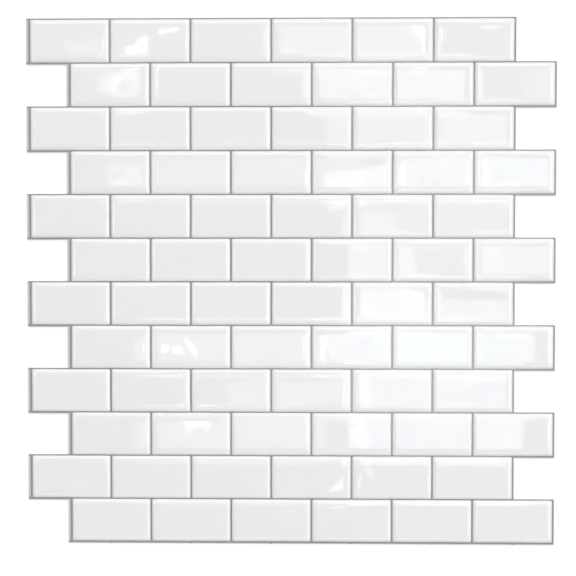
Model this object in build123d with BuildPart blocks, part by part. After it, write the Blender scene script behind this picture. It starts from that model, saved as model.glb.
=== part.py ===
from build123d import *
import math
import os

os.makedirs("parts", exist_ok=True)

# Gel bricks, laid in running bond with every other row moved right by half a pitch
brick_length = 45.65
brick_width = 24.15
joint_width = 1.25
bricks_per_row = 6
row_count = 12

# Section of a gel brick, from its outline on the film up to its flat crown. The slope of its
# side falls to about a third over each levelling distance, as a poured liquid's does.
gel_height = 1.4
levelling = 0.8
side_reach = 4.5
side_bands = 4
outline_radius = 1.0
crown_radius = 4.0
cuts_per_turn = 16

# Film that shows past the gel: wide laps on the left and the bottom, which the next sheet
# covers, and narrow trims on the right and the top
lap_left = 2.4
lap_bottom = 1.7
trim_right = 1.2
trim_top = 1.0
die_radius = 0.6

# Layers below the gel, from the wall side up
liner_thickness = 0.15
adhesive_thickness = 0.1
film_thickness = 0.3

# Bond pattern
brick_pitch = brick_length + joint_width
row_pitch = brick_width + joint_width
row_shift = brick_pitch / 2
row_gel_length = bricks_per_row * brick_pitch - joint_width

# One row's strip of film, and the sheet that the rows make
strip_length = lap_left + row_gel_length + trim_right
strip_width = lap_bottom + brick_width + trim_top
sheet_length = strip_length + row_shift
sheet_width = strip_width + (row_count - 1) * row_pitch

# Levels of the layers, with the back of the liner at zero
adhesive_level = liner_thickness
film_level = adhesive_level + adhesive_thickness
gel_level = film_level + film_thickness

# A square corner cut by a chamfer, whose two ends are cut again, gets three facets that
# touch a circle. Both cuts are shares of the circle's radius.
first_cut = 2 - math.sqrt(2)
second_cut = math.sqrt(2) - 1 - math.tan(math.pi / 16)


# Rectangle with corners rounded in three facets
def eased_rectangle(length, width, radius):
    with BuildSketch(mode=Mode.PRIVATE) as rectangle:
        Rectangle(length, width)
        chamfer(rectangle.vertices(), length=radius * first_cut)
        chamfer(rectangle.vertices(), length=radius * second_cut)
    return rectangle.sketch


# Centre of a row's strip of film, with row 0 at the top and the odd rows moved right
def strip_centre(row):
    side = 1 if row % 2 else -1
    return (side * row_shift / 2, ((row_count - 1) / 2 - row) * row_pitch)


# Centre of a row of bricks, off the middle of its strip because the laps are wider
def row_centre(row):
    x, y = strip_centre(row)
    return (x + (lap_left - trim_right) / 2, y + (lap_bottom - trim_top) / 2)


# Outline that the die cuts through the film, the adhesive and the liner together
with BuildSketch() as sheet_outline:
    add(eased_rectangle(sheet_length - 2 * row_shift, sheet_width, die_radius))
    for row in range(row_count):
        with Locations(strip_centre(row)):
            add(eased_rectangle(strip_length, strip_width, die_radius))

with BuildPart() as release_liner:
    add(sheet_outline.sketch)
    extrude(amount=liner_thickness)
release_liner.part.label = "release_liner"

with BuildPart() as adhesive_layer:
    with BuildSketch(Plane.XY.offset(adhesive_level)):
        add(sheet_outline.sketch)
    extrude(amount=adhesive_thickness)
adhesive_layer.part.label = "adhesive_layer"

with BuildPart() as printed_film:
    with BuildSketch(Plane.XY.offset(film_level)):
        add(sheet_outline.sketch)
    extrude(amount=film_thickness)
printed_film.part.label = "printed_film"

# Heights of a brick's side, each with its inset and its corners' radius. They are close
# together where the side is steep and spread out inwards.
full_rise = 1 - math.exp(-side_reach / levelling)
side_levels = []
for band in range(side_bands + 1):
    inset_share = (band / side_bands) ** 2
    inset = side_reach * inset_share
    radius = outline_radius + (crown_radius - outline_radius) * inset_share
    height = gel_height * (1 - math.exp(-inset / levelling)) / full_rise
    side_levels.append((height, inset, radius))


# Distance from a brick's centre to the tangent of its rounded outline that faces an angle
def tangent_distance(angle, inset, radius):
    along_length = abs(math.cos(angle)) * (brick_length / 2 - inset - radius)
    along_width = abs(math.sin(angle)) * (brick_width / 2 - inset - radius)
    return along_length + along_width + radius


# One brick: a block trimmed flat from each level to the next, all the way round. The gel
# stands steep at its outline, levels off to a flat crown, and its corners grow rounder.
with BuildPart() as gel_brick:
    Box(brick_length, brick_width, gel_height, align=(Align.CENTER, Align.CENTER, Align.MIN))
    for (low, *low_outline), (high, *high_outline) in zip(side_levels, side_levels[1:]):
        for cut in range(cuts_per_turn):
            angle = 2 * math.pi * cut / cuts_per_turn
            outward = Vector(math.cos(angle), math.sin(angle), 0)
            foot = tangent_distance(angle, *low_outline)
            setback = foot - tangent_distance(angle, *high_outline)
            slope = outward * (high - low) + Vector(0, 0, setback)
            split(bisect_by=Plane(outward * foot + (0, 0, low), z_dir=slope), keep=Keep.BOTTOM)

gel_rows = []
for row in range(row_count):
    x, y = row_centre(row)
    with BuildPart() as gel_row:
        with Locations((x, y, gel_level)):
            with GridLocations(brick_pitch, row_pitch, bricks_per_row, 1):
                add(gel_brick.part)
    gel_row.part.label = f"gel_row_{row + 1:02d}"
    gel_rows.append(gel_row.part)

for part in [release_liner.part, adhesive_layer.part, printed_film.part, *gel_rows]:
    export_step(part, f"parts/{part.label}.step")
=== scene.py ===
import math
import random

import bmesh
import bpy
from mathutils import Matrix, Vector, noise


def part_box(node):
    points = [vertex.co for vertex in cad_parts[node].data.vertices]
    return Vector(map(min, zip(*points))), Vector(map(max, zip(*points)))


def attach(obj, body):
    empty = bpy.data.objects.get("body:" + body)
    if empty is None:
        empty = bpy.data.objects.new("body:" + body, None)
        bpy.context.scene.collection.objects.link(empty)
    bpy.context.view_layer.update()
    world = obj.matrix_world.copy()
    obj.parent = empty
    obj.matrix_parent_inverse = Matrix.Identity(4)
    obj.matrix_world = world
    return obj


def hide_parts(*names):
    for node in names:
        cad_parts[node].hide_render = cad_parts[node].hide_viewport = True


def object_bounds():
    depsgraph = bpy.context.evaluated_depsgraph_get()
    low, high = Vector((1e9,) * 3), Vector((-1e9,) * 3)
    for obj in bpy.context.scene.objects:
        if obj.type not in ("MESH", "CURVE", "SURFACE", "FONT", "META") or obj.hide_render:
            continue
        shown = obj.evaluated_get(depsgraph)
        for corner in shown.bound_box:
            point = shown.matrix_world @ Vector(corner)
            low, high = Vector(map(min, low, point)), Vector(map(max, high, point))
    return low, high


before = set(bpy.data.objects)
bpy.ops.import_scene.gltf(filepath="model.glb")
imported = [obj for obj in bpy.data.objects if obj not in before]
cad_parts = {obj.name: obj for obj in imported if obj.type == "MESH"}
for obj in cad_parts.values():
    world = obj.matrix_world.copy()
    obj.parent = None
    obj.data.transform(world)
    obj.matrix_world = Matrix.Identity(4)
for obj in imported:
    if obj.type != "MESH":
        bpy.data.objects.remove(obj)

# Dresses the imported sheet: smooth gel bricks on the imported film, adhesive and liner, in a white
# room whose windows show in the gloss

mm = 0.001
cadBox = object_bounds()
scene = bpy.context.scene
scene.view_settings.view_transform = "Standard"


# The running bond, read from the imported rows. Row 1 is the top one, and the even rows stand
# half a brick to its right.
gelNodes = sorted(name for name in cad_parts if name.startswith("gel_row_"))
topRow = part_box(gelNodes[0])
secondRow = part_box(gelNodes[1])
bond = {
    "rowShift": secondRow[0].x - topRow[0].x,
    "rowPitch": topRow[0].y - secondRow[0].y,
    "rowLength": topRow[1].x - topRow[0].x,
    "brickWidth": topRow[1].y - topRow[0].y,
    "filmTop": topRow[0].z,
    "gelHeight": topRow[1].z - topRow[0].z,
}
bond["brickPitch"] = 2 * bond["rowShift"]
bond["bricksPerRow"] = round(bond["rowLength"] / bond["brickPitch"])
bond["brickLength"] = bond["rowLength"] - (bond["bricksPerRow"] - 1) * bond["brickPitch"]
bond["joint"] = bond["brickPitch"] - bond["brickLength"]


# Turns an sRGB hex value to the linear colour that a shader takes
def hexColour(code):
    parts = [int(code[i:i + 2], 16) / 255 for i in (1, 3, 5)]
    linear = [c / 12.92 if c <= 0.04045 else ((c + 0.055) / 1.055) ** 2.4 for c in parts]
    return (*linear, 1)


# Adds a node: settings are its own fields, inputs are numbers, colours or sockets to link
def addNode(tree, kind, settings=None, inputs=None):
    node = tree.nodes.new(kind)
    for name, value in (settings or {}).items():
        setattr(node, name, value)
    for name, value in (inputs or {}).items():
        if isinstance(value, bpy.types.NodeSocket):
            tree.links.new(value, node.inputs[name])
        else:
            node.inputs[name].default_value = value
    return node


# Starts a material, and gives it with its tree and its shader
def newMaterial(name):
    material = bpy.data.materials.new(name)
    material.use_nodes = True
    tree = material.node_tree
    tree.nodes.clear()
    shader = addNode(tree, "ShaderNodeBsdfPrincipled")
    addNode(tree, "ShaderNodeOutputMaterial", inputs={"Surface": shader.outputs["BSDF"]})
    return material, tree, shader


# Camera: looks almost straight down on the sheet, from just right of its middle
cameraView = {
    "place": (4.9 * mm, 6.0 * mm, 466.0 * mm),
    "turn": (-1.135, 0.773, 0.031),     # degrees about X, Y and Z
    "lens": 50,
}
cameraData = bpy.data.cameras.new("camera")
cameraData.lens = cameraView["lens"]
camera = bpy.data.objects.new("camera", cameraData)
camera.location = cameraView["place"]
camera.rotation_euler = [math.radians(angle) for angle in cameraView["turn"]]
scene.collection.objects.link(camera)
scene.camera = camera
print("stage: camera")


# Cast polyurethane gel: poured, so it is wet-looking and almost mirror smooth, milky white,
# with a faint cloud in its colour and a slight orange peel that breaks up reflections
gelFinish = {
    "colour": "#F3F3F3",
    "cloudColour": "#F6F6F6",
    "cloudSize": 22 * mm,
    "roughLow": 0.02,
    "roughHigh": 0.07,
    "smearSize": 9 * mm,
    "smearRange": (0.3, 0.7),           # part of the noise that spans the two roughnesses
    "peelSize": 2.2 * mm,
    "peelDepth": 0.0022 * mm,
    "ior": 1.5,
}


def makeGel():
    material, tree, shader = newMaterial("castPolyurethaneGel")
    coords = addNode(tree, "ShaderNodeTexCoord").outputs["Object"]
    cloud = addNode(tree, "ShaderNodeTexNoise", inputs={
        "Vector": coords, "Scale": 1 / gelFinish["cloudSize"], "Detail": 2, "Roughness": 0.5,
    })
    colour = addNode(tree, "ShaderNodeMix", {"data_type": "RGBA"}, {
        "Factor": cloud.outputs["Fac"],
        "A": hexColour(gelFinish["colour"]), "B": hexColour(gelFinish["cloudColour"]),
    })
    tree.links.new(colour.outputs["Result"], shader.inputs["Base Color"])
    smear = addNode(tree, "ShaderNodeTexNoise", inputs={
        "Vector": coords, "Scale": 1 / gelFinish["smearSize"], "Detail": 3, "Roughness": 0.6,
    })
    rough = addNode(tree, "ShaderNodeMapRange", inputs={
        "Value": smear.outputs["Fac"],
        "From Min": gelFinish["smearRange"][0], "From Max": gelFinish["smearRange"][1],
        "To Min": gelFinish["roughLow"], "To Max": gelFinish["roughHigh"],
    })
    tree.links.new(rough.outputs["Result"], shader.inputs["Roughness"])
    peel = addNode(tree, "ShaderNodeTexNoise", inputs={
        "Vector": coords, "Scale": 1 / gelFinish["peelSize"], "Detail": 1, "Roughness": 0.4,
    })
    bump = addNode(tree, "ShaderNodeBump", inputs={
        "Height": peel.outputs["Fac"], "Strength": 1, "Distance": gelFinish["peelDepth"],
    })
    tree.links.new(bump.outputs["Normal"], shader.inputs["Normal"])
    shader.inputs["IOR"].default_value = gelFinish["ior"]
    return material


# Printed PET film: grey grout lines printed on white, which show in the joints and on the
# trims, with the white of the next bricks past them on the laps. Softly glossy, with a fine
# print grain, and plain white where it is cut.
filmFinish = {
    "grout": "#8E8D8B",
    "groutWorn": "#9E9D9B",
    "white": "#CECDCA",
    "core": "#E6E6E4",                  # at the cut edges and underneath
    "lineBlur": 0.1,                    # softness of the printed lines' edges, from 0 to 1
    "topFacing": 0.5,                   # faces that point up more than this are printed
    "grainSize": 0.35 * mm,
    "roughness": 0.2,
    "grainDepth": 0.004 * mm,
}


def makeFilm():
    material, tree, shader = newMaterial("printedPetFilm")
    coords = addNode(tree, "ShaderNodeTexCoord")
    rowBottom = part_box(gelNodes[-1])[0].y - bond["joint"] / 2
    rowLeft = topRow[0].x - bond["joint"] / 2
    placed = addNode(tree, "ShaderNodeMapping", inputs={
        "Vector": coords.outputs["Object"], "Location": (-rowLeft, -rowBottom, 0),
    })
    grain = addNode(tree, "ShaderNodeTexNoise", inputs={
        "Vector": coords.outputs["Object"], "Scale": 1 / filmFinish["grainSize"],
        "Detail": 2, "Roughness": 0.6,
    })
    grout = addNode(tree, "ShaderNodeMix", {"data_type": "RGBA"}, {
        "Factor": grain.outputs["Fac"],
        "A": hexColour(filmFinish["grout"]), "B": hexColour(filmFinish["groutWorn"]),
    })
    pattern = addNode(tree, "ShaderNodeTexBrick", {"offset": 0.5, "offset_frequency": 2}, {
        "Vector": placed.outputs["Vector"], "Scale": 1 / mm,
        "Color1": hexColour(filmFinish["white"]), "Color2": hexColour(filmFinish["white"]),
        "Mortar": grout.outputs["Result"],
        "Mortar Size": bond["joint"] / 2 / mm, "Mortar Smooth": filmFinish["lineBlur"],
        "Brick Width": bond["brickPitch"] / mm, "Row Height": bond["rowPitch"] / mm,
    })
    upward = addNode(tree, "ShaderNodeSeparateXYZ", inputs={"Vector": coords.outputs["Normal"]})
    printed = addNode(tree, "ShaderNodeMath", {"operation": "GREATER_THAN"}, {
        0: upward.outputs["Z"], 1: filmFinish["topFacing"],
    })
    colour = addNode(tree, "ShaderNodeMix", {"data_type": "RGBA"}, {
        "Factor": printed.outputs["Value"],
        "A": hexColour(filmFinish["core"]), "B": pattern.outputs["Color"],
    })
    tree.links.new(colour.outputs["Result"], shader.inputs["Base Color"])
    bump = addNode(tree, "ShaderNodeBump", inputs={
        "Height": grain.outputs["Fac"], "Strength": 1, "Distance": filmFinish["grainDepth"],
    })
    tree.links.new(bump.outputs["Normal"], shader.inputs["Normal"])
    shader.inputs["Roughness"].default_value = filmFinish["roughness"]
    return material


# Acrylic adhesive: a clear coat gone slightly cloudy, seen only as a thin line at the edges
adhesiveFinish = {
    "colour": "#D9D5CB",
    "cloudColour": "#E3E0D8",
    "cloudSize": 4 * mm,
    "roughness": 0.38,
}


def makeAdhesive():
    material, tree, shader = newMaterial("acrylicAdhesive")
    coords = addNode(tree, "ShaderNodeTexCoord").outputs["Object"]
    cloud = addNode(tree, "ShaderNodeTexNoise", inputs={
        "Vector": coords, "Scale": 1 / adhesiveFinish["cloudSize"], "Detail": 2,
    })
    colour = addNode(tree, "ShaderNodeMix", {"data_type": "RGBA"}, {
        "Factor": cloud.outputs["Fac"],
        "A": hexColour(adhesiveFinish["colour"]), "B": hexColour(adhesiveFinish["cloudColour"]),
    })
    tree.links.new(colour.outputs["Result"], shader.inputs["Base Color"])
    shader.inputs["Roughness"].default_value = adhesiveFinish["roughness"]
    return material


# Silicone-coated glassine: dense smooth paper with a slight sheen and fine long fibres
linerFinish = {
    "paper": "#EFEDE6",
    "fibre": "#E2DFD5",
    "fibreSize": 0.8 * mm,
    "fibreStretch": 6,
    "fibreRange": (0.52, 0.72),         # part of the noise that shows as a fibre
    "mottleSize": 14 * mm,
    "mottle": "#EBE8E0",
    "roughness": 0.45,
    "fibreDepth": 0.01 * mm,
}


def makeLiner():
    material, tree, shader = newMaterial("siliconeGlassine")
    coords = addNode(tree, "ShaderNodeTexCoord").outputs["Object"]
    stretched = addNode(tree, "ShaderNodeMapping", inputs={
        "Vector": coords, "Scale": (1 / linerFinish["fibreStretch"], 1, 1),
    })
    fibres = addNode(tree, "ShaderNodeTexNoise", inputs={
        "Vector": stretched.outputs["Vector"], "Scale": 1 / linerFinish["fibreSize"],
        "Detail": 4, "Roughness": 0.7, "Distortion": 0.6,
    })
    mottle = addNode(tree, "ShaderNodeTexNoise", inputs={
        "Vector": coords, "Scale": 1 / linerFinish["mottleSize"], "Detail": 3,
    })
    ground = addNode(tree, "ShaderNodeMix", {"data_type": "RGBA"}, {
        "Factor": mottle.outputs["Fac"],
        "A": hexColour(linerFinish["paper"]), "B": hexColour(linerFinish["mottle"]),
    })
    strand = addNode(tree, "ShaderNodeMapRange", inputs={
        "Value": fibres.outputs["Fac"],
        "From Min": linerFinish["fibreRange"][0], "From Max": linerFinish["fibreRange"][1],
    })
    colour = addNode(tree, "ShaderNodeMix", {"data_type": "RGBA"}, {
        "Factor": strand.outputs["Result"],
        "A": ground.outputs["Result"], "B": hexColour(linerFinish["fibre"]),
    })
    tree.links.new(colour.outputs["Result"], shader.inputs["Base Color"])
    bump = addNode(tree, "ShaderNodeBump", inputs={
        "Height": fibres.outputs["Fac"], "Strength": 1, "Distance": linerFinish["fibreDepth"],
    })
    tree.links.new(bump.outputs["Normal"], shader.inputs["Normal"])
    shader.inputs["Roughness"].default_value = linerFinish["roughness"]
    return material


# The three die-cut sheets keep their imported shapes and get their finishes
sheets = {"printed_film": makeFilm, "adhesive_layer": makeAdhesive, "release_liner": makeLiner}
for node, make in sheets.items():
    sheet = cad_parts[node]
    sheet.data.materials.clear()
    sheet.data.materials.append(make())
print("stage: film, adhesive and liner")


# One gel brick: rounded outlines stacked from the film up to the crown, bridged, gridded and
# settled. Its side is a liquid's: steep at the outline, then levelling off towards the crown.
gelBrick = {
    "levelling": 0.8 * mm,              # distance over which the slope falls to about a third
    "sideReach": 4.5 * mm,
    "outlineRadius": 1.0 * mm,
    "crownRadius": 4.0 * mm,
    "bands": 10,
    "cornerSegments": 6,
    "cutSpacing": 2.2 * mm,
    "cutMargin": 0.08 * mm,             # corners this close to a cut move onto it
    "undersideLimit": -0.99,            # faces that point down more than this stay flat
    "headroom": 0.1 * mm,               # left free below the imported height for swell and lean
    "crownSwell": 0.05 * mm,            # how far the middle of a crown stands over its rim
    "ripple": 0.03 * mm,
    "rippleSize": 15 * mm,
    "creep": (0.06 * mm, 0.25 * mm),    # how far the gel runs out at its short and long sides
    "wobble": 0.11 * mm,                # how far the poured outline wanders
    "wobbleSize": 9 * mm,
    "lean": 0.0022,                     # largest slope of a crown, in either direction
    "seed": 11,                         # for the leans and the wander
}


# Lays one rounded outline at its height and gives its edges
def layOutline(bm, length, width, radius, height):
    made = bmesh.ops.create_grid(bm, x_segments=1, y_segments=1, size=0.5)
    bmesh.ops.scale(bm, vec=(length, width, 1), verts=made["verts"])
    bmesh.ops.translate(bm, vec=(0, 0, height), verts=made["verts"])
    rounded = bmesh.ops.bevel(
        bm, geom=made["verts"], offset=radius, offset_type="OFFSET", affect="VERTICES",
        segments=gelBrick["cornerSegments"], profile=0.5, material=-1,
    )
    return list(dict.fromkeys(edge for vert in rounded["verts"] for edge in vert.link_edges))


# Makes the brick that all 72 are copies of, with its middle at the origin and its foot at zero
def castBrick():
    bm = bmesh.new()
    outlines = []
    fullRise = 1 - math.exp(-gelBrick["sideReach"] / gelBrick["levelling"])
    # The outlines are close together where the side is steep, and spread out inwards
    for band in range(gelBrick["bands"] + 1):
        insetShare = (band / gelBrick["bands"]) ** 2
        inset = gelBrick["sideReach"] * insetShare
        radius = gelBrick["outlineRadius"]
        radius += (gelBrick["crownRadius"] - gelBrick["outlineRadius"]) * insetShare
        rise = 1 - math.exp(-inset / gelBrick["levelling"])
        height = (bond["gelHeight"] - gelBrick["headroom"]) * rise / fullRise
        length = bond["brickLength"] + 2 * (gelBrick["creep"][0] - inset)
        width = bond["brickWidth"] + 2 * (gelBrick["creep"][1] - inset)
        outlines.append(layOutline(bm, length, width, radius, height))
    bmesh.ops.delete(bm, geom=bm.faces[:], context="FACES_ONLY")
    for low, high in zip(outlines, outlines[1:]):
        bmesh.ops.bridge_loops(bm, edges=low + high)
    bmesh.ops.holes_fill(bm, edges=outlines[0] + outlines[-1], sides=0)
    bmesh.ops.recalc_face_normals(bm, faces=bm.faces)
    # A grid of cuts both ways, so that a settled brick can swell and ripple
    spans = {(1, 0, 0): bond["brickLength"], (0, 1, 0): bond["brickWidth"]}
    for along, reach in spans.items():
        cuts = round(reach / gelBrick["cutSpacing"])
        for cut in range(1, cuts):
            bmesh.ops.bisect_plane(
                bm, geom=bm.verts[:] + bm.edges[:] + bm.faces[:], dist=gelBrick["cutMargin"],
                plane_co=Vector(along) * reach * (cut / cuts - 0.5), plane_no=along,
            )
    for face in bm.faces:
        face.smooth = face.normal.z > gelBrick["undersideLimit"]
        if not face.smooth:
            for edge in face.edges:
                edge.smooth = False
    mesh = bpy.data.meshes.new("brickBlank")
    bm.to_mesh(mesh)
    bm.free()
    return mesh


# Gives a brick its own lean, swell, ripple and wandering outline, then sets it in its place
def settleBrick(verts, centre, lean):
    halfLength, halfWidth = bond["brickLength"] / 2, bond["brickWidth"] / 2
    crown = bond["gelHeight"] - gelBrick["headroom"]
    for vert in verts:
        place = vert.co + centre
        share = vert.co.z / crown
        middle = (1 - (vert.co.x / halfLength) ** 2) * (1 - (vert.co.y / halfWidth) ** 2)
        rise = lean[0] * vert.co.x + lean[1] * vert.co.y + gelBrick["crownSwell"] * middle
        rise += gelBrick["ripple"] * noise.noise(place / gelBrick["rippleSize"])
        drift = noise.noise_vector(place.to_2d().to_3d() / gelBrick["wobbleSize"])
        drift.z = 0
        vert.co += drift * gelBrick["wobble"] + Vector((0, 0, rise * share))
        vert.co += centre


chance = random.Random(gelBrick["seed"])
noise.seed_set(gelBrick["seed"])        # or else the wander changes from run to run
gelMaterial = makeGel()
blank = castBrick()
for number, node in enumerate(gelNodes):
    low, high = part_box(node)
    bm = bmesh.new()
    for place in range(bond["bricksPerRow"]):
        first = len(bm.verts)
        bm.from_mesh(blank)
        bm.verts.ensure_lookup_table()
        centre = Vector((
            low.x + bond["brickLength"] / 2 + place * bond["brickPitch"],
            (low.y + high.y) / 2, bond["filmTop"],
        ))
        lean = [chance.uniform(-1, 1) * gelBrick["lean"] for axis in range(2)]
        settleBrick(bm.verts[first:], centre, lean)
    mesh = bpy.data.meshes.new(f"castGelRow{number + 1:02d}")
    bm.to_mesh(mesh)
    bm.free()
    mesh.materials.append(gelMaterial)
    row = bpy.data.objects.new(mesh.name, mesh)
    scene.collection.objects.link(row)
    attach(row, "root")
    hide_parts(node)
print("stage: gel bricks,", len(blank.polygons), "faces each")


# Floor: a round white floor that comes out pure white to the eye and keeps the soft shadow of
# the sheet's edges
floorLook = {
    "radius": 1.9,                      # ends where the boxes' light does, so no horizon shows
    "gap": 0.02 * mm,                   # below the liner
    "colour": "#E6E6E6",
    "lift": 0.35,                       # added for camera, mirror and see-through rays only
}
floorMesh = bpy.data.meshes.new("floor")
bm = bmesh.new()
bmesh.ops.create_circle(bm, cap_ends=True, segments=64, radius=floorLook["radius"])
bm.to_mesh(floorMesh)
bm.free()
floor = bpy.data.objects.new("floor", floorMesh)
floor.location.z = cadBox[0].z - floorLook["gap"]
scene.collection.objects.link(floor)


# Gives 1 for camera, mirror and see-through rays, and 0 for the rays that light the object
def seenRays(tree):
    rays = addNode(tree, "ShaderNodeLightPath")
    first = addNode(tree, "ShaderNodeMath", {"operation": "MAXIMUM"}, {
        0: rays.outputs["Is Camera Ray"], 1: rays.outputs["Is Glossy Ray"],
    })
    both = addNode(tree, "ShaderNodeMath", {"operation": "MAXIMUM"}, {
        0: first.outputs["Value"], 1: rays.outputs["Is Transmission Ray"],
    })
    return both.outputs["Value"]


floorMaterial, floorTree, floorShader = newMaterial("whiteFloor")
floorShader.inputs["Base Color"].default_value = hexColour(floorLook["colour"])
floorShader.inputs["Roughness"].default_value = 1
floorShader.inputs["Specular IOR Level"].default_value = 0
floorShader.inputs["Emission Color"].default_value = (1, 1, 1, 1)
floorLift = addNode(floorTree, "ShaderNodeMath", {"operation": "MULTIPLY"}, {
    0: seenRays(floorTree), 1: floorLook["lift"],
})
floorTree.links.new(floorLift.outputs["Value"], floorShader.inputs["Emission Strength"])
floorMesh.materials.append(floorMaterial)
print("stage: floor")


# Light: an even white room and four soft boxes light the set. What the gloss mirrors hangs
# apart from them: windows, grey cards and panes overhead that only show as reflections.
room = {"strength": 0.43}               # on the object, where the rays that are seen get 1
world = bpy.data.worlds.new("whiteRoom")
world.use_nodes = True
worldTree = world.node_tree
worldTree.nodes.clear()
roomStrength = addNode(worldTree, "ShaderNodeMapRange", inputs={
    "Value": seenRays(worldTree), "To Min": room["strength"], "To Max": 1,
})
roomLight = addNode(worldTree, "ShaderNodeBackground", inputs={
    "Color": (1, 1, 1, 1), "Strength": roomStrength.outputs["Result"],
})
addNode(worldTree, "ShaderNodeOutputWorld", inputs={"Surface": roomLight.outputs["Background"]})
scene.world = world


# Hangs a flat lamp that faces its target, by the brightness of its face. One that is for
# mirrors only shows as a reflection and doesn't light the set.
def hangLamp(name, place, target, size, brightness, mirrorOnly=False):
    data = bpy.data.lights.new(name, "AREA")
    data.shape = "RECTANGLE"
    data.size, data.size_y = size
    data.energy = brightness * math.pi * size[0] * size[1]
    lamp = bpy.data.objects.new(name, data)
    lamp.location = place
    lamp.rotation_euler = (Vector(target) - Vector(place)).to_track_quat("-Z", "Y").to_euler()
    lamp.visible_camera = False
    lamp.visible_diffuse = not mirrorOnly
    scene.collection.objects.link(lamp)
    return lamp


# Soft boxes on the four sides, the strongest from the right. None shows as a reflection,
# because in a low view the flat crowns would mirror a whole box.
softBoxes = {
    "softBoxRight": {"place": (3.5, 0.3, 2.0), "size": (2.2, 2.5), "brightness": 3.8},
    "softBoxTop": {"place": (-0.5, 3.5, 2.0), "size": (3.6, 2.9), "brightness": 2.5},
    "softBoxLeft": {"place": (-3.5, -0.3, 2.0), "size": (2.2, 2.5), "brightness": 0.5},
    "softBoxBottom": {"place": (0.3, -3.5, 2.0), "size": (2.9, 2.5), "brightness": 1.2},
}
for name, lamp in softBoxes.items():
    box = hangLamp(name, lamp["place"], (0, 0, 0), lamp["size"], lamp["brightness"])
    box.visible_glossy = False

# Windows that only show as reflections, on the rounded sides of the bricks
rimWindows = {
    "rimRight": {"place": (0.95, 0.0, 1.0), "size": (1.4, 0.6), "brightness": 2.3},
    "rimTop": {"place": (0.0, 0.95, 1.0), "size": (1.4, 0.6), "brightness": 2.8},
    "rimLeft": {"place": (-0.95, 0.0, 1.0), "size": (1.4, 0.6), "brightness": 1.0},
    "rimBottom": {"place": (0.0, -0.95, 1.0), "size": (1.4, 0.6), "brightness": 1.6},
}
for name, lamp in rimWindows.items():
    hangLamp(name, lamp["place"], (0, 0, 0), lamp["size"], lamp["brightness"], mirrorOnly=True)

# One more of them with a narrow beam, for the left sides of the right-hand bricks
sideWindow = {
    "place": (-0.45, 0.0, 0.8),
    "target": (0.2, 0.0, 0.0),
    "size": (0.5, 0.5),
    "brightness": 0.16,
    "spread": 24,                       # degrees
}
narrowLamp = hangLamp(
    "sideWindow", sideWindow["place"], sideWindow["target"], sideWindow["size"],
    sideWindow["brightness"], mirrorOnly=True,
)
narrowLamp.data.spread = math.radians(sideWindow["spread"])

# Beams at the camera's height, one for two rows, that lean right. The gentle slopes on the left
# sides of the right-hand bricks mirror them, and the flat crowns look past them. A lamp at this
# height is twice as wide as its reflection on the sheet, and twice as far off to the side.
sideBeams = {
    "reach": (0.0, 0.11),               # from the middle of the sheet to the right
    "rows": 2,                          # that one beam serves
    "lean": 10,                         # degrees
    "spread": 20,                       # degrees
    "brightness": 0.065,
}
eye = Vector(cameraView["place"])
left, right = sideBeams["reach"]
beamSize = (right - left, 2 * sideBeams["rows"] * bond["rowPitch"])
beamShift = eye.z * math.tan(math.radians(sideBeams["lean"]))
for first in range(0, len(gelNodes), sideBeams["rows"]):
    upper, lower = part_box(gelNodes[first]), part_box(gelNodes[first + sideBeams["rows"] - 1])
    middle = (upper[1].y + lower[0].y) / 2
    place = Vector(((left + right) / 2, 2 * middle - eye.y, eye.z))
    beam = hangLamp(
        f"sideBeam{first // sideBeams['rows'] + 1}", place, (place.x + beamShift, middle, 0),
        beamSize, sideBeams["brightness"], mirrorOnly=True,
    )
    beam.data.spread = math.radians(sideBeams["spread"])
print("stage: soft boxes, windows and beams")


# Grey cards low around the set that only show as reflections: from the side they turn the
# white gel a light grey, so that it stands out from the white floor
greyCards = {"radius": 2.4, "height": 1.5, "colour": "#B4B4B6"}
cardMesh = bpy.data.meshes.new("greyCards")
bm = bmesh.new()
bmesh.ops.create_cone(
    bm, segments=48, radius1=greyCards["radius"], radius2=greyCards["radius"],
    depth=greyCards["height"],
)
bm.to_mesh(cardMesh)
bm.free()
cards = bpy.data.objects.new("greyCards", cardMesh)
cards.location.z = cadBox[0].z + greyCards["height"] / 2
cards.visible_camera = False
cards.visible_diffuse = False
cards.visible_shadow = False
scene.collection.objects.link(cards)
cardMaterial, _, cardShader = newMaterial("greyCard")
cardShader.inputs["Base Color"].default_value = (0, 0, 0, 1)
cardShader.inputs["Specular IOR Level"].default_value = 0
cardShader.inputs["Emission Color"].default_value = hexColour(greyCards["colour"])
cardShader.inputs["Emission Strength"].default_value = 1
cardMesh.materials.append(cardMaterial)
print("stage: grey cards")


# What shows in a window's glass: soft patches of two tints, and an edge that wanders. The
# lamp's own face is taken from -1 to 1 both ways, and past the edge it is dark. The number
# shifts the patches, so that no two panes are alike.
glazing = {
    "edge": 0.95,                       # as a share of the lamp's half width
    "patchRange": (0.3, 0.7),           # part of the noise that spans the patches' brightness
    "tintRange": (0.46, 0.54),          # part of the noise that spans the two tints
}


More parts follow.
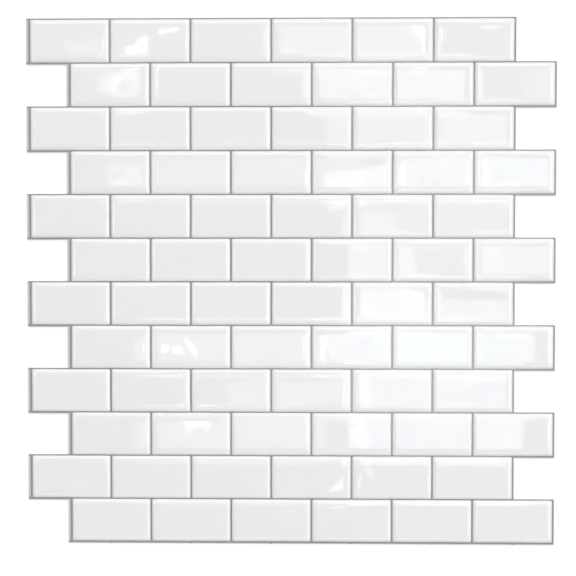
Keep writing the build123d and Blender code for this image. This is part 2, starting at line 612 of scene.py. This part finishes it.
def glazeLamp(data, tints, softness, look, number):
    data.use_nodes = True
    tree = data.node_tree
    tree.nodes.clear()
    face = addNode(tree, "ShaderNodeNewGeometry")
    centred = addNode(tree, "ShaderNodeVectorMath", {"operation": "MULTIPLY_ADD"}, {
        0: face.outputs["Parametric"], 1: (2, 2, 0), 2: (-1, -1, 0),
    })
    placed = addNode(tree, "ShaderNodeMapping", inputs={
        "Vector": centred.outputs["Vector"], "Location": (number, 0, 0),
        "Scale": (data.size / 2, data.size_y / 2, 1),
    })
    patches = addNode(tree, "ShaderNodeTexNoise", inputs={
        "Vector": placed.outputs["Vector"], "Scale": 1 / look["patchSize"], "Detail": 4,
    })
    shift = addNode(tree, "ShaderNodeVectorMath", {"operation": "MULTIPLY_ADD"}, {
        0: patches.outputs["Color"], 1: [look["wander"]] * 3, 2: [-look["wander"] / 2] * 3,
    })
    bent = addNode(tree, "ShaderNodeVectorMath", {"operation": "ADD"}, {
        0: centred.outputs["Vector"], 1: shift.outputs["Vector"],
    })
    spread = addNode(tree, "ShaderNodeVectorMath", {"operation": "ABSOLUTE"}, {
        0: bent.outputs["Vector"],
    })
    sides = addNode(tree, "ShaderNodeSeparateXYZ", inputs={"Vector": spread.outputs["Vector"]})
    powers = [addNode(tree, "ShaderNodeMath", {"operation": "POWER"}, {
        0: sides.outputs[axis], 1: look["squareness"],
    }) for axis in ("X", "Y")]
    reach = addNode(tree, "ShaderNodeMath", {"operation": "ADD"}, {
        0: powers[0].outputs["Value"], 1: powers[1].outputs["Value"],
    })
    inside = addNode(tree, "ShaderNodeMapRange", {"interpolation_type": "SMOOTHSTEP"}, {
        "Value": reach.outputs["Value"],
        "From Min": glazing["edge"], "From Max": glazing["edge"] - softness,
    })
    strength = addNode(tree, "ShaderNodeMapRange", inputs={
        "Value": patches.outputs["Fac"],
        "From Min": glazing["patchRange"][0], "From Max": glazing["patchRange"][1],
        "To Min": 1 - look["contrast"], "To Max": 1 + look["contrast"],
    })
    shown = addNode(tree, "ShaderNodeMath", {"operation": "MULTIPLY"}, {
        0: strength.outputs["Result"], 1: inside.outputs["Result"],
    })
    hue = addNode(tree, "ShaderNodeTexNoise", inputs={
        "Vector": placed.outputs["Vector"], "Scale": 1 / look["tintSize"], "Detail": 3,
    })
    share = addNode(tree, "ShaderNodeMapRange", inputs={
        "Value": hue.outputs["Fac"],
        "From Min": glazing["tintRange"][0], "From Max": glazing["tintRange"][1],
    })
    colour = addNode(tree, "ShaderNodeMix", {"data_type": "RGBA"}, {
        "Factor": share.outputs["Result"], "A": hexColour(tints[0]), "B": hexColour(tints[1]),
    })
    glow = addNode(tree, "ShaderNodeEmission", inputs={
        "Color": colour.outputs["Result"], "Strength": shown.outputs["Value"],
    })
    addNode(tree, "ShaderNodeOutputLight", inputs={"Surface": glow.outputs["Emission"]})


# Panes of a window overhead, and glints from its frame. Each is given by where its reflection
# falls on the sheet: the middle and the size in millimetres, the turn in degrees, then its
# brightness, its tints and how soft its edge is, from 0 to 0.9.
sky, leaves = ("#DCE6FF", "#F4F7FF"), ("#DCE6FF", "#E6FFF0")
haze, bulb = ("#FFFFFF", "#F4F6FA"), ("#FFF2D2", "#FFFFFF")
windowPanes = {
    "rows1Left": ((13, 137), (50, 30), 0, 1.6, haze, 0.3),
    "rows1Middle": ((57, 137), (46, 30), 0, 1.8, leaves, 0.2),
    "rows2": ((57, 112), (96, 28), 0, 2.9, leaves, 0.2),
    "rows2Right": ((146, 112), (22, 28), 0, 0.9, sky, 0.6),
    "rows3Left": ((38, 87), (36, 26), 0, 1.3, haze, 0.8),
    "rows3Right": ((92, 87), (76, 26), 0, 1.3, sky, 0.5),
    "rows3Bright": ((106, 87), (50, 28), 0, 1.0, leaves, 0.4),
    "rows4Left": ((42, 57), (46, 22), 10, 3.0, haze, 0.7),
    "rows4Middle": ((84, 61), (52, 27), 0, 3.0, leaves, 0.2),
    "rows4Right": ((130, 61), (50, 27), 0, 3.4, leaves, 0.2),
    "rows5": ((82, 36), (100, 28), 0, 0.8, haze, 0.3),
    "rows5Left": ((47, 32), (28, 18), 0, 1.5, sky, 0.7),
    "rows6Left": ((52, 11), (36, 28), 0, 2.5, sky, 0.05),
    "rows6Middle": ((87, 11), (60, 28), 0, 0.6, haze, 0.5),
    "rows6Right": ((128, 11), (50, 28), 0, 2.6, leaves, 0.2),
    "rows7": ((58, -15), (53, 26), 0, 2.6, sky, 0.15),
    "rows7Right": ((111, -18.8), (56, 19), -3, 2.8, sky, 0.6),
    "rows7Bright": ((57, -15), (46, 26), 0, 1.3, haze, 0.4),
    "rows8": ((77, -39), (130, 27), 0, 3.4, leaves, 0.05),
    "rows8Bright": ((82, -39), (50, 27), 0, 1.0, leaves, 0.4),
    "rows9": ((84, -64), (104, 26), 0, 2.9, sky, 0.1),
    "rows9Left": ((0, -66), (80, 24), 0, 1.4, haze, 0.9),
    "rows10": ((84, -89), (102, 27), 0, 3.1, sky, 0.05),
    "pastRight": ((215, 25), (120, 250), 0, 1.6, haze, 0.3),
    "faint4": ((-20, 61), (130, 26), 0, 0.9, haze, 0.4),
    "faint8": ((-34, -39), (110, 26), 0, 1.5, haze, 0.4),
    "faint10": ((-34, -89), (110, 26), 0, 1.5, haze, 0.4),
}
roomLamps = {
    "ceilingTopLeft": ((-115, 132), (34, 16), 0, 1.2, bulb, 0.9),
    "ceilingTop": ((-88, 130), (18, 10), 0, 1.6, bulb, 0.9),
    "ceilingUpper": ((-95, 113.5), (36, 25), 0, 2.8, bulb, 0.9),
    "ceilingLower": ((-93.5, 58), (32, 24), 0, 2.1, bulb, 0.9),
}
windowGlints = {
    "finFoot": ((-90.5, 130), (14, 5), 0, 8.0, haze, 0.4),
    "finMiddle": ((-86.5, 134), (15, 6), 52, 8.0, haze, 0.4),
    "finBack": ((-84.2, 134), (4, 13), -6, 8.0, haze, 0.4),
    "arrowTail": ((-72.5, 144), (4.5, 5), 0, 7.0, haze, 0.4),
    "arrowHead": ((-66.5, 145.3), (13, 4), 14, 7.0, haze, 0.4),
    "starLeft": ((-73.2, -38.4), (6.5, 6), 20, 8.0, haze, 0.4),
    "starMiddle": ((-65.6, -40.2), (6.5, 6), -20, 8.0, haze, 0.4),
    "starStreak": ((-57, -37.5), (4.5, 17), 22, 6.0, haze, 0.5),
    "softSpot": ((-52, -77.5), (18, 7), 0, 4.0, haze, 0.8),
    "softSpotFoot": ((-57, -80.5), (7, 11), 0, 3.8, haze, 0.8),
    "softSpotHeel": ((-46, -80), (6, 9), 0, 2.8, haze, 0.8),
    "softSpotLeft": ((-100, -84), (9, 8), 0, 0.9, haze, 0.9),
    "softSpotLow": ((-117, -118), (14, 9), 0, 1.0, haze, 0.9),
    "wedgeTop": ((74.5, 143), (12, 17), 30, 4.5, haze, 0.5),
    "wedgeTopFoot": ((75.5, 134), (6, 22), 10, 4.5, haze, 0.6),
    "edgeTopLeft": ((85.3, 141), (2.6, 13), 0, 3.0, haze, 0.7),
    "edgeTop": ((113, 146.5), (16, 3), 0, 4.5, haze, 0.6),
    "wedgeLow": ((30, -115.5), (22, 6), 42, 6.0, haze, 0.5),
    "streakLow": ((43.5, -107), (4, 13), 25, 3.0, haze, 0.7),
    "whiteLow": ((40.5, -88.5), (15, 28), 0, 1.5, haze, 0.5),
    "whiteMiddle": ((40.5, -62), (13, 26), 0, 1.6, haze, 0.8),
    "curlLeft": ((-51.5, -9), (2.6, 11), 20, 2.2, haze, 0.8),
    "curlRight": ((-6.5, -9), (2.6, 11), 20, 2.2, haze, 0.8),
}
paneLook = {
    "patchSize": 9 * mm, "tintSize": 24 * mm, "contrast": 0.5,
    "wander": 0.13, "squareness": 12,
}
bulbLook = {
    "patchSize": 16 * mm, "tintSize": 20 * mm, "contrast": 0.9,
    "wander": 0.9, "squareness": 3,
}
glintLook = {
    "patchSize": 5 * mm, "tintSize": 5 * mm, "contrast": 0.2,
    "wander": 0.9, "squareness": 2,
}

layer = 0.5 * mm            # step in height between lamps, so that no two share a plane
hung = 0
for lamps, look in ((windowPanes, paneLook), (roomLamps, bulbLook), (windowGlints, glintLook)):
    for name, (middle, size, turn, brightness, tints, softness) in lamps.items():
        hung += 1
        x, y = middle[0] * mm, middle[1] * mm
        place = Vector((2 * x - eye.x, 2 * y - eye.y, eye.z - hung * layer))
        span = (2 * size[0] * mm, 2 * size[1] * mm)
        pane = hangLamp(name, place, place - Vector((0, 0, 1)), span, brightness, mirrorOnly=True)
        pane.rotation_euler.z += math.radians(turn)
        glazeLamp(pane.data, tints, softness, look, hung)
print("stage: panes and glints")

bpy.context.view_layer.update()
